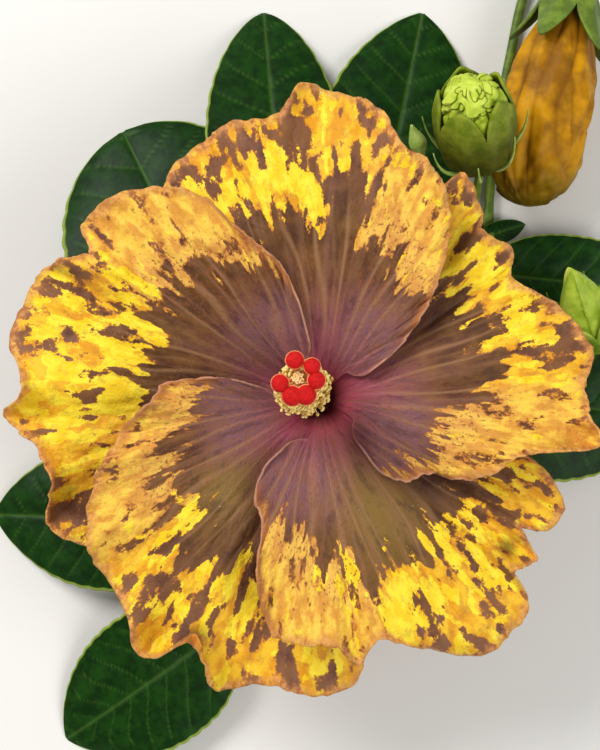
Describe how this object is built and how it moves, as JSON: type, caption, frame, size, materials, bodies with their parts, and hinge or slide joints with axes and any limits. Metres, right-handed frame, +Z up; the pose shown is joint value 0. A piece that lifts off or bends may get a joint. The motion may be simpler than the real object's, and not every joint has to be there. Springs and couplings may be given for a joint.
{
  "type": "cut flowering hibiscus branch",
  "caption": "Cut hibiscus branch that lies flat, its wide ruffled yellow and mauve-brown bloom facing up above glossy leaves, green buds and a furled bloom.",
  "frame": {"origin": "middle of the branch's footprint, on the surface it lies on", "axes": "+Z up, the way the open bloom faces; +Y along the branch from its cut end to its tip, up the picture; +X to the picture's right"},
  "size_m": [0.2072, 0.2478, 0.1056],
  "materials": {
    "stem": "smooth green-brown bark, matte",
    "calyx": "soft green plant skin, satin",
    "column": "pale yellow, dusted with pollen, matte",
    "stigma": "bright red velvet",
    "petal": "crepe-like petal, lemon and apricot blotches over mauve brown, soft sheen",
    "leaf": "dark green leaf, glossy above",
    "bud_petal": "crinkled yellow-green, satin",
    "bud_green": "olive green plant skin, satin",
    "furled_petal": "rolled crepe-like petals, orange brown and yellow, satin"
  },
  "bodies": {
    "root": {"stem": "stem", "bloom_stalk": "calyx", "receptacle": "calyx", "calyx": "calyx", "staminal_column": "column", "stigmas": "stigma", "petal_top": "petal", "petal_right": "petal", "petal_lower_right": "petal", "petal_lower_left": "petal", "petal_left": "petal", "leaf_upper_left": "leaf", "leaf_top": "leaf", "leaf_top_right": "leaf", "leaf_right": "leaf", "leaf_small": "leaf", "leaf_lower_right": "leaf", "leaf_left": "leaf", "leaf_lower_left": "leaf", "large_bud_petals": "bud_petal", "large_bud_calyx": "bud_green", "large_bud_stalk": "bud_green", "side_bud": "bud_green", "side_bud_stalk": "bud_green", "furled_bloom_petals": "furled_petal", "furled_bloom_calyx": "calyx", "furled_bloom_stalk": "calyx", "tiny_bud": "bud_green"}
  },
  "joints": []
}
